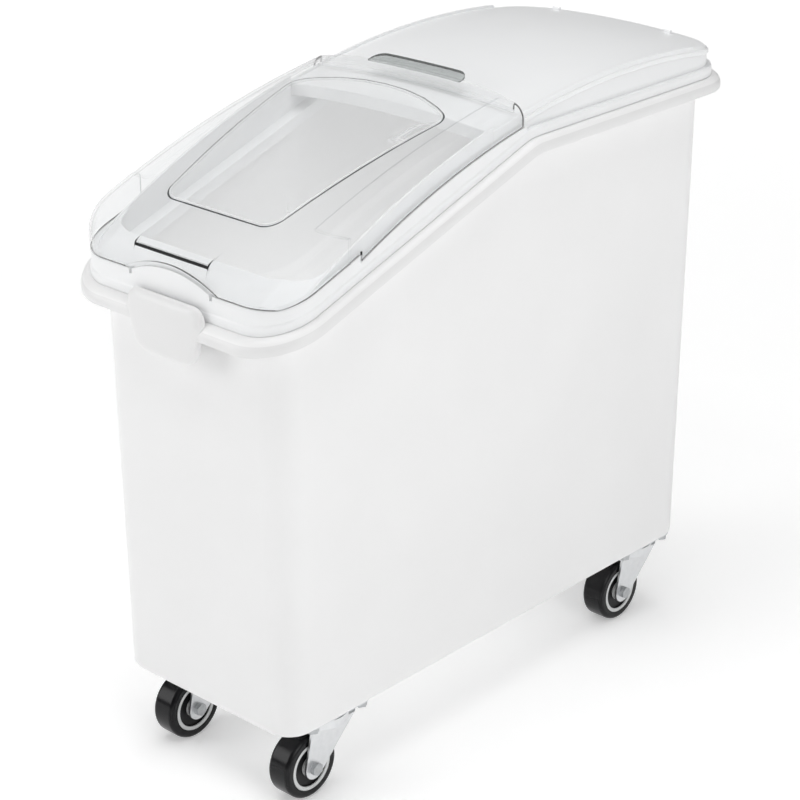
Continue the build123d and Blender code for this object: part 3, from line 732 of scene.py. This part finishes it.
def sunk(x, y):
    """How far the side strips lie below the rest of the lid, past a short slope at their edges."""
    past = np.minimum(np.abs(x) - strip_x, y - strip_front_y)
    return strip_depth * np.clip(0.5 + 0.5 * past / strip_slope, 0, 1)


def skirt_foot(x, y):
    """Lower edge of the skirt: a gap over the ledge, raised by the arch in front and level over the slit."""
    in_slit = (y > ledge_step_y) & (y < ledge_step_y + slit_width)
    foot = ledge_height(y) + np.maximum(lid_gap, arch_over_ledge(x, arch_radius))
    return np.where(in_slit, ledge_step_z + lid_gap, foot)


strip_edges = (strip_front_y - strip_slope, strip_front_y + strip_slope)
side_breaks = (*strip_edges, ledge_step_y, ledge_step_y + slit_width, lid_rear_y)
lid_base, lid_normal = rim_columns(4 * mm, side_breaks, (visor_half, arch_half))
ahead = np.arange(len(lid_base))
fore = lid_base[:, 1] < lid_rear_y
order = np.concatenate([ahead[fore & (ahead > len(ahead) / 2)], ahead[fore & (ahead <= len(ahead) / 2)]])
lid_base, lid_normal = lid_base[order], lid_normal[order]
lid_sunk = sunk(lid_base[:, 0], lid_base[:, 1])[None]
border_inset = lid_inset + lid_edge_round
skirt_line = lid_base - lid_inset * lid_normal
lid_foot = skirt_foot(skirt_line[:, 0], skirt_line[:, 1])
round_foot = lid_top(skirt_line[:, 0], skirt_line[:, 1]) - lid_edge_round
foot_turn = np.arcsin(np.clip((lid_foot - round_foot) / lid_edge_round, 0, 1))[None]
turn = foot_turn + np.concatenate([[0, 0], np.linspace(0, 1, 12)])[:, None] * (np.pi / 2 - foot_turn)
plain_in = border_inset - (lid_edge_round - lid_sunk) * np.cos(turn)
plain_down = lid_edge_round - (lid_edge_round - lid_sunk) * np.sin(turn)
visor_inset = lid_inset + visor_setback
visor_foot = math.acos((border_inset - visor_inset) / lid_edge_round)
visor_turn = foot_turn + np.array([0, 0, 0, 1 / 3, 2 / 3, 1])[:, None] * (visor_foot - foot_turn)
nose_turn = np.radians([0, 45, 90])[:, None] + 0 * foot_turn
visor_flat = np.linspace(visor_inset + visor_round, border_inset, 6)[1:, None] + 0 * foot_turn
nose_in = visor_inset + visor_round * (1 - np.cos(nose_turn))
nose_down = visor_round * (1 - np.sin(nose_turn))
visor_in = np.concatenate([border_inset - lid_edge_round * np.cos(visor_turn), nose_in, visor_flat])
visor_down = np.concatenate([lid_edge_round * (1 - np.sin(visor_turn)), nose_down, 0 * visor_flat])
on_visor = (np.abs(lid_base[:, 0]) < visor_half) & (lid_base[:, 1] < -rim_y + hair)
skirt_in = np.where(on_visor[None], visor_in, plain_in)
skirt_down = np.where(on_visor[None], visor_down, plain_down)
skirt_place = lid_base[None] - skirt_in[..., None] * lid_normal[None]
lean_from, lean_to = strip_front_y - strip_lean - slit_width, ledge_step_y - slit_width
lean = strip_lean * np.interp(lid_base[:, 1], [lean_from, strip_front_y, lean_to], [0, 1, 0])
skirt_place[..., 1] += lean[None] * (1 - np.sin(turn))
skirt_z = lid_top(skirt_place[..., 0], skirt_place[..., 1]) - skirt_down
skirt_z[0] = skirt_foot(skirt_place[0, :, 0], skirt_place[0, :, 1])
skirt_z[1] = np.minimum(skirt_z[0] + slit_mark, (skirt_z[0] + skirt_z[2]) / 2)
skirt_grid = raised(skirt_place, skirt_z)


def spans(low, high):
    """Which faces along the skirt lie between two places along the bin."""
    between = (lid_base[:, 1] > low - 2 * hair) & (lid_base[:, 1] < high + 2 * hair)
    return between[:-1] & between[1:]


nose_row = len(visor_turn) - 1
skirt_finish = np.full((len(turn) - 1, len(lid_base) - 1), clear_face, dtype=np.int32)
# The strips' step takes a darker clear: a painted shade line along it.
skirt_finish[:, spans(*strip_edges)] = seam_shade_face
# The slit's foot, the visor's nose and the visor's ends are painted near-black: painted shade for the shadow
# in the slit and under the visor.
skirt_finish[0, spans(ledge_step_y, ledge_step_y + slit_width)] = painted_shade_edge_face
skirt_finish[nose_row, on_visor[:-1] & on_visor[1:]] = painted_shade_edge_face
skirt_finish[2:, on_visor[:-1] ^ on_visor[1:]] = painted_shade_edge_face

rear_margin = 6 * mm
border_x = rim_x - border_inset
rear_x = np.linspace(border_x, -border_x, 72)[1:-1]
rear_line = np.stack([rear_x, 0 * rear_x + skirt_place[-1, -1, 1]], axis=1)
border = np.concatenate([skirt_place[-1], rear_line])


def strip_contour(inset):
    """Closed line round the top: an inset from the rim, and a margin in from the rear edge."""
    ahead_part = lid_base - inset * lid_normal
    rear_part = rear_line * [(rim_x - inset) / border_x, 1]
    line = np.concatenate([ahead_part, rear_part])
    line[:, 1] = np.minimum(line[:, 1], lid_rear_y - rear_margin + strip_inset - inset)
    return line


window_radius = (window_rear_half**2 + window_bow**2) / (2 * window_bow)
crown_angle = math.asin(window_rear_half / window_radius)
crown_turn = np.linspace(crown_angle, -crown_angle, 9)
crown_x = window_radius * np.sin(crown_turn)
crown_y = window_rear_y + window_bow - window_radius * (1 - np.cos(crown_turn))
window_crown = np.stack([crown_x, crown_y], axis=1)
window_fore = np.array([(-window_front_half, window_front_y), (window_front_half, window_front_y)])
window_corners = np.concatenate([window_fore, window_crown])
window_outline = evenly_round(rounded_polygon(window_corners, window_corner, 9), 900)
window_middle = np.array([0, (window_front_y + window_rear_y) / 2])
window_arms = window_outline - window_middle
bearing = np.arctan2(window_arms[:, 1], window_arms[:, 0])
by_bearing = np.argsort(bearing)
outer_strip = strip_contour(strip_inset - strip_slope)
inner_strip = strip_contour(strip_inset + strip_slope)
strip_arms = inner_strip - window_middle
strip_bearing = np.arctan2(strip_arms[:, 1], strip_arms[:, 0])
arm_length = np.linalg.norm(window_arms, axis=1)
window_reach = np.interp(strip_bearing, bearing[by_bearing], arm_length[by_bearing], period=2 * np.pi)
window_way = np.stack([np.cos(strip_bearing), np.sin(strip_bearing)], axis=1)


def window_ring(inset, share=1.0):
    """The window's outline drawn in by an inset, then shrunk to a share of its size."""
    return window_middle + share * (window_reach - inset)[:, None] * window_way


round_turn = np.radians(np.linspace(0, 90, 5))
top_rings = [border, outer_strip, inner_strip]
top_rings += [inner_strip + share * (window_ring(-window_groove) - inner_strip) for share in (0.35, 0.7, 1.0)]
groove_row = len(top_rings) - 1
top_rings += [window_ring(0)]
riser_row = len(top_rings)
top_rings += [window_ring(window_round * (1 - math.cos(a))) for a in round_turn]
field_row = len(top_rings)
window_field = window_round + window_land
top_rings += [window_ring(window_field, share) for share in window_field_shares]
round_lift = window_rise - window_round * (1 - np.sin(round_turn))
field_lift = np.full(len(window_field_shares), window_rise)
top_lift = np.concatenate([np.zeros(riser_row), round_lift, field_lift])
top_place = np.stack(top_rings)
top_x, top_y = np.moveaxis(top_place, -1, 0)
top_z = lid_top(top_x, top_y) - sunk(top_x, top_y) + top_lift[:, None]
top_grid = closed(raised(top_place, top_z))
top_finish = np.full((top_grid.shape[0] - 1, top_grid.shape[1] - 1), clear_face, dtype=np.int32)
# The groove ring at the window's foot takes a dark tinted clear: a painted shade line for the dark refraction
# at the step.
top_finish[groove_row] = groove_shade_face
# The window's riser and its round take a whiter, hazier clear: a painted highlight for the white reflection
# on the step.
top_finish[riser_row : field_row - 1] = highlight_face
# On the top, too, the strips' step takes the darker clear as a painted shade line.
top_finish[0, : len(lid_base) - 1][spans(*strip_edges)] = seam_shade_face
top_finish[1, : len(lid_base) - 1][spans(strip_front_y, lid_rear_y)] = seam_shade_face

rear_edge = np.concatenate([skirt_grid[-1, -1:], top_grid[0, len(lid_base) : -1], skirt_grid[-1, :1]])
lip_share = np.linspace(0, 1, 4)[:, None]
lip_foot_z = slide_height(rear_edge[:, 1], slide_radius + rear_lip_clear + cover_crown(rear_edge[:, 0]))[None]
lip_grid = np.repeat(rear_edge[None], len(lip_share), axis=0)
lip_grid[..., 2] = rear_edge[None, :, 2] + lip_share * (lip_foot_z - rear_edge[None, :, 2])
lip_finish = np.full((len(lip_share) - 1, len(rear_edge) - 1), clear_face, dtype=np.int32)
# The foot of the rear lip takes the same whiter clear, a painted highlight.
lip_finish[-1] = highlight_face


def clear_plastic(name, tint, haze, body_tone):
    """Clear plastic sheet: light passes straight through with a little tint, and a glossy skin lies over it
    that is faint face on and rises with the fifth power of the slant. Haze is the skin's share face on."""
    smooth, rough, gloss_patches = 0.03, 0.08, 30
    waves, wave_depth, wave_strength = 14, 0.1 * mm, 0.15
    material, tree, shader, place = new_material(name)
    shader.inputs["Base Color"].default_value = (*body_tone, 1)
    skin_gloss = spread(tree, noise(tree, place, gloss_patches), smooth, rough)
    tree.links.new(skin_gloss, shader.inputs["Roughness"])
    roughen(tree, shader, noise(tree, place, waves, 1.0), wave_depth, wave_strength)
    passing = tree.nodes.new("ShaderNodeBsdfTransparent")
    passing.inputs["Color"].default_value = (*tint, 1)
    slant = tree.nodes.new("ShaderNodeLayerWeight")
    slant.inputs["Blend"].default_value = 0.5
    gloss = tree.nodes.new("ShaderNodeMath")
    gloss.operation = "POWER"
    gloss.inputs[1].default_value = 5
    tree.links.new(slant.outputs["Facing"], gloss.inputs[0])
    mix = tree.nodes.new("ShaderNodeMixShader")
    tree.links.new(spread(tree, gloss.outputs["Value"], haze, 1), mix.inputs["Fac"])
    tree.links.new(passing.outputs["BSDF"], mix.inputs[1])
    tree.links.new(shader.outputs["BSDF"], mix.inputs[2])
    tree.links.new(mix.outputs["Shader"], tree.nodes["Material Output"].inputs["Surface"])
    return material


lid_clear = clear_plastic("lid_clear", (0.985, 0.988, 0.99), 0.16, (0.9, 0.9, 0.9))
lid_inside = clear_plastic("lid_inside", (0.99, 0.992, 0.993), 0.0, (0.9, 0.9, 0.9))
# Dark tinted clear: painted shade for the dark line where the window rises.
groove_painted_shade = clear_plastic("lid_groove_painted_shade", (0.16, 0.165, 0.17), 0.1, (0.12, 0.125, 0.13))
# Whiter, hazier clear: painted highlight for steps that catch the light.
lid_riser_painted_highlight = clear_plastic("lid_riser_painted_highlight", (0.97, 0.975, 0.98), 0.45, (0.95, 0.95, 0.95))
# Darker tinted clear: painted shade for the line along the strips' step.
lid_seam_painted_shade = clear_plastic("lid_seam_painted_shade", (0.78, 0.79, 0.8), 0.1, (0.65, 0.65, 0.65))
# Near-black for the lid's cut edges: painted shade for the dark look of clear plastic seen edge on.
lid_edge_painted_shade = moulded_plastic("lid_edge_painted_shade", (0.008, 0.009, 0.009), (0.014, 0.015, 0.015), 0.16, 0.24)
lid_edge_painted_shade.node_tree.nodes["Principled BSDF"].inputs["Specular IOR Level"].default_value = edge_gloss
lid_grids = [skirt_grid, top_grid, lip_grid]
lid_finishes = [skirt_finish, top_finish, lip_finish]
lid_materials = [lid_clear, groove_painted_shade, lid_edge_painted_shade, lid_riser_painted_highlight, lid_seam_painted_shade, lid_inside]
clear_lid = surface("clear_lid", lid_grids, lid_materials, "front_lid", finishes=lid_finishes)
skin = clear_lid.modifiers.new("skin", "SOLIDIFY")
skin.thickness = lid_skin
skin.offset = -1
skin.material_offset = inside_face
# The solidified cut edges take the near-black painted shade.
skin.material_offset_rim = painted_shade_edge_face
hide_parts("front_lid")

# Finger tab: a clear tongue behind the lid's rear edge with a raised rim, for pulling the lid forwards.
# It is moulded in one with the lid. Its plate is tinted grey and the side of its rim painted near-black:
# painted shade for the dark look of the thick clear plastic.
tab_half = 66 * mm
tab_depth = 14.5 * mm
tab_rim_width = 3.5 * mm
tab_rim_rise = 1.5 * mm
tab_round = 0.8 * mm
tab_stations = np.linspace(0, tab_half - tab_depth, 12)[:-1]
tab_base, tab_normal = round_rectangle(tab_half, tab_depth, tab_depth, tab_stations, np.zeros(0), 12)
behind_edge = tab_base[:, 1] > -hair
tab_base, tab_normal = tab_base[behind_edge], tab_normal[behind_edge]
tab_base[[0, -1], 1] = -lid_skin
tab_in = np.array([tab_round, 0, 0, tab_round, tab_rim_width - tab_round, tab_rim_width, tab_rim_width])
tab_rows = tab_base[None] - tab_in[:, None, None] * tab_normal[None]
tab_spine = np.clip(tab_base, [tab_depth - tab_half, -lid_skin], [tab_half - tab_depth, -lid_skin])[None]
tab_place = np.concatenate([tab_spine, tab_rows, tab_spine, tab_spine])
tab_place[..., 1] += lid_rear_y
rim_up = tab_rim_rise * np.clip(tab_base[:, 1] / tab_depth, 0, 1)
plate_up = 0 * rim_up
plate_low = plate_up - lid_skin
rim_inside = np.maximum(rim_up - tab_round, 0)
tab_outside = [plate_low, plate_low, plate_low + tab_round, rim_up - tab_round]
tab_inside = [rim_up, rim_up, rim_inside, plate_up, plate_up, plate_low]
tab_lift = np.stack(tab_outside + tab_inside)
tab_level = math.hypot(lid_rear_y - slide_y, lid_rear_z - slide_z)
tab_crown = lid_crown(tab_place[..., 0], tab_place[..., 1])
tab_z = slide_height(tab_place[..., 1], tab_level + tab_lift + tab_crown)
tab_grid = capped(raised(tab_place, tab_z))
tab_finish = np.zeros((tab_grid.shape[0] - 1, tab_grid.shape[1] - 1), dtype=np.int32)
# The side of the tab's rim takes the near-black painted shade.
rim_side_row = 2
tab_finish[rim_side_row] = 1
# Grey tinted clear: painted shade, darker than the lid it is moulded with.
tab_clear_painted_shade = clear_plastic("tab_clear_painted_shade", (0.8, 0.82, 0.815), 0.25, (0.5, 0.515, 0.51))
surface("finger_tab", [tab_grid], [tab_clear_painted_shade, lid_edge_painted_shade], "front_lid", finishes=[tab_finish])

# Caster hardware: pressed steel top plates, forks and sleeves, rivets and bolts, all bright zinc plated.
# Brass inserts are moulded into the floor pads to take the bolts.


def plated_metal(name, low, high, smooth, rough, speckle):
    """Plated metal: cloudy crystals in the plating, and gloss that follows them."""
    grain_depth, grain_strength = 0.05 * mm, 0.2
    material, tree, shader, place = new_material(name)
    crystals = noise(tree, place, speckle, 4.0)
    tree.links.new(shade_between(tree, crystals, low, high), shader.inputs["Base Color"])
    tree.links.new(spread(tree, crystals, smooth, rough), shader.inputs["Roughness"])
    shader.inputs["Metallic"].default_value = 1
    roughen(tree, shader, noise(tree, place, 5 * speckle, 2.0), grain_depth, grain_strength)
    return material


def dress(material, *names):
    """Gives CAD nodes their finish."""
    for name in names:
        for place in frame["nodes"][name].material_slots:
            place.material = material


zinc = plated_metal("bright_zinc", (0.68, 0.69, 0.7), (0.73, 0.74, 0.75), 0.28, 0.38, 160)
dull_zinc = plated_metal("dull_zinc", (0.4, 0.41, 0.42), (0.5, 0.51, 0.52), 0.3, 0.42, 220)
brass = plated_metal("turned_brass", (0.6, 0.46, 0.2), (0.7, 0.55, 0.27), 0.25, 0.4, 300)
dress(brass, "inserts")
dress(dull_zinc, "caster_bolts", "caster_washers")
for finish, pieces in ((zinc, ("plate", "fork", "sleeve")), (dull_zinc, ("kingpin", "axle", "axle_nut"))):
    for piece in pieces:
        dress(finish, *[f"{piece}_{corner}" for corner in caster_corners])

# Wheels: a glossy black polyurethane tread on a light grey core with a flange on either side, closed by
# black discs, on nylon bushes. The thrust rings in the swivels are black plastic.
flange_width = 4.5 * mm
flange_depth = 1.8 * mm
flange_sunk = 0.4 * mm
flange_round = 0.5 * mm
black_gloss = 0.22
tread_black = moulded_plastic("tread_black", (0.006, 0.006, 0.007), (0.011, 0.011, 0.012), 0.16, 0.26)
core_grey = moulded_plastic("core_grey", (0.66, 0.67, 0.67), (0.72, 0.73, 0.73), 0.35, 0.5)
trim_black = moulded_plastic("trim_black", (0.007, 0.007, 0.008), (0.012, 0.012, 0.013), 0.3, 0.45)
nylon = moulded_plastic("natural_nylon", (0.74, 0.72, 0.65), (0.8, 0.78, 0.72), 0.4, 0.55)
for black in (tread_black, trim_black):
    black.node_tree.nodes["Principled BSDF"].inputs["Specular IOR Level"].default_value = black_gloss


def flanges(corner):
    """Two rings on the sides of a wheel's core: a round-cornered section of radius and place along the axle,
    turned about the axle."""
    core_low, core_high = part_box("core_" + corner)
    tyre_low, tyre_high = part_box("tyre_" + corner)
    middle = (core_low + core_high) / 2
    outer = (core_high.z - core_low.z) / 2 - hair
    side = (tyre_high.x - tyre_low.x) / 2 - flange_sunk
    inner = outer - flange_width
    foot = side - flange_depth
    ends = np.array([(inner, foot), (outer, foot), (outer, side), (inner, side)])
    section = rounded_polygon(ends, flange_round, 4)
    radius, along = np.concatenate([section, section[:1]]).T[:, :, None]
    angle = np.linspace(0, 2 * np.pi, 73)[None]
    ring_y = middle.y + radius * np.cos(angle)
    ring_z = middle.z + radius * np.sin(angle)
    return [np.stack([middle.x + way * along + 0 * ring_y, ring_y, ring_z], axis=-1) for way in (-1, 1)]


for corner in caster_corners:
    dress(tread_black, "tyre_" + corner)
    dress(core_grey, "core_" + corner)
    dress(trim_black, "cover_" + corner, "race_" + corner)
    dress(nylon, "bush_" + corner)
    surface("core_flanges_" + corner, flanges(corner), [core_grey], "wheel_" + corner)

# Camera: stands well off the right front corner, a little above the lid, and looks down along the bin.
# Its long lens keeps the upright edges nearly parallel.
view_turn = math.radians(42.744)
view_rise = math.radians(23.435)
view_roll = math.radians(-0.248)
camera_place = Vector((1606.25, -1765.21, 1377.28)) * mm
focal_pixels = 2306.88
picture_pixels = 800
lens_data = bpy.data.cameras.new("view")
lens_data.sensor_width = 36
lens_data.lens = lens_data.sensor_width * focal_pixels / picture_pixels
lens_data.clip_end = 50
camera = placed("view", lens_data)
flat = math.cos(view_rise)
back = Vector((math.sin(view_turn) * flat, -math.cos(view_turn) * flat, math.sin(view_rise)))
level = Vector((math.cos(view_turn), math.sin(view_turn), 0))
upward = back.cross(level)
right = math.cos(view_roll) * level + math.sin(view_roll) * upward
upright = math.cos(view_roll) * upward - math.sin(view_roll) * level
camera.matrix_world = Matrix.Translation(camera_place) @ Matrix((right, upright, back)).transposed().to_4x4()
bpy.context.scene.camera = camera

# Floor and light: a pale seamless floor under an even white sky, with soft boxes on either hand and overhead.
# A faint lamp that lies in the bin stands for the light that soaks through its walls.
floor_half = 12.0
floor_glow_near, floor_glow_far = 0.31, 0.86
floor_glow_start, floor_glow_end = 0.8, 4.0
sky_light, sky_seen_light = 0.18, 1
floor_mesh = bpy.data.meshes.new("studio_floor")
floor_ends = ((-1, -1), (1, -1), (1, 1), (-1, 1))
floor_mesh.from_pydata([(x * floor_half, y * floor_half, 0) for x, y in floor_ends], [], [(0, 1, 2, 3)])
floor = placed("studio_floor", floor_mesh)
floor_white, floor_tree, floor_shader, floor_place = new_material("floor_white")
floor_tone = shade_between(floor_tree, noise(floor_tree, floor_place, 2), (0.9, 0.9, 0.9), (0.91, 0.91, 0.91))
floor_tree.links.new(floor_tone, floor_shader.inputs["Base Color"])
floor_shader.inputs["Roughness"].default_value = 0.9
floor_shader.inputs["Emission Color"].default_value = (1, 1, 1, 1)
floor_reach = floor_tree.nodes.new("ShaderNodeVectorMath")
floor_reach.operation = "LENGTH"
floor_tree.links.new(floor_place, floor_reach.inputs[0])
floor_glow = spread(floor_tree, floor_reach.outputs["Value"], floor_glow_near, floor_glow_far)
floor_glow.node.inputs["From Min"].default_value = floor_glow_start
floor_glow.node.inputs["From Max"].default_value = floor_glow_end
floor_tree.links.new(floor_glow, floor_shader.inputs["Emission Strength"])
floor_mesh.materials.append(floor_white)

sky = bpy.data.worlds.new("studio_sky")
sky.use_nodes = True
sky_background = sky.node_tree.nodes["Background"]
sky_background.inputs["Color"].default_value = (1, 1, 1, 1)
sky_seen = sky.node_tree.nodes.new("ShaderNodeLightPath").outputs["Is Camera Ray"]
sky_strength = spread(sky.node_tree, sky_seen, sky_light, sky_seen_light)
sky.node_tree.links.new(sky_strength, sky_background.inputs["Strength"])
bpy.context.scene.world = sky
bpy.context.scene.view_settings.view_transform = "Standard"


def soft_box(name, place, aim, size, power):
    """A square lamp that looks from its place to a point."""
    lamp = bpy.data.lights.new(name, "AREA")
    lamp.shape = "SQUARE"
    lamp.size = size
    lamp.energy = power
    box = placed(name, lamp)
    box.location = place
    box.rotation_euler = (Vector(aim) - Vector(place)).to_track_quat("-Z", "Y").to_euler()


middle_height = (0, 0, rim_rear_z / 2)
soft_box("left_soft_box", (-1.8, -2.3, 1.3), middle_height, size=1.6, power=24)
soft_box("right_soft_box", (2.1, -0.5, 1.2), middle_height, size=1.2, power=13.5)
soft_box("overhead_soft_box", (0, -0.2, 3.2), middle_height, size=3.0, power=66)
inner_glow = bpy.data.lights.new("inner_glow", "AREA")
inner_glow.shape = "RECTANGLE"
inner_glow.size = 2 * (rim_x - recess_inset - floor_cove)
inner_glow.size_y = 2 * (rim_y - recess_inset - floor_cove)
inner_glow.energy = 1.05
glow = placed("inner_glow", inner_glow)
glow.location = (0, 0, floor_z + floor_cove)
glow.rotation_euler = (math.pi, 0, 0)
glow.visible_camera = False
glow.visible_glossy = False
